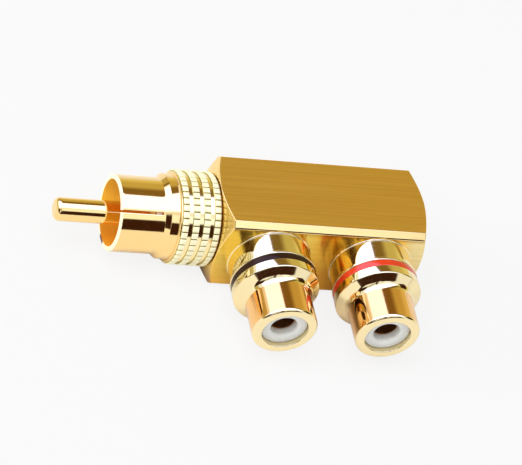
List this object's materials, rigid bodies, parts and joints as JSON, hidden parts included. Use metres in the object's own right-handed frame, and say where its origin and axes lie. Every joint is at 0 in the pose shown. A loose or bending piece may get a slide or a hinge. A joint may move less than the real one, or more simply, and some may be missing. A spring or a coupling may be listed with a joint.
{
  "type": "rca splitter adapter",
  "caption": "Right-angle phono splitter: a slit-shell pin plug with a knurled collar on the end of a square brass bar, and ring-coded phono jacks side by side on the bar's flank.",
  "frame": {"origin": "centre of the open mouth of the plug shell, on the plug axis", "axes": "+X along the plug axis from the pin into the bar, -Y the way both jacks point, +Z normal to the brushed top flat"},
  "size_m": [0.0477, 0.0237, 0.012],
  "materials": {
    "bar_gold": "gold plate over brass, top flat brushed lengthwise, other faces polished",
    "collar_gold": "polished gold plate, knurled",
    "pin_gold": "polished gold plate",
    "jack_gold": "polished gold plate, faint turning marks",
    "contact_gold": "gold plate, satin",
    "conductor_brass": "turned, unplated",
    "black_plastic": "smooth moulded",
    "red_plastic": "smooth moulded",
    "insulator_plastic": "milky moulded, soft sheen",
    "sleeve_plastic": "moulded"
  },
  "bodies": {
    "root": {"body_block": "bar_gold", "plug_barrel": "collar_gold", "plug_insulator": "insulator_plastic", "centre_pin": "pin_gold", "bus_rod": "conductor_brass", "bus_sleeve": "sleeve_plastic", "left_boss": "jack_gold", "left_barrel": "jack_gold", "black_ring": "black_plastic", "left_insulator": "insulator_plastic", "left_contact": "contact_gold", "right_boss": "jack_gold", "right_barrel": "jack_gold", "red_ring": "red_plastic", "right_insulator": "insulator_plastic", "right_contact": "contact_gold"}
  },
  "joints": []
}
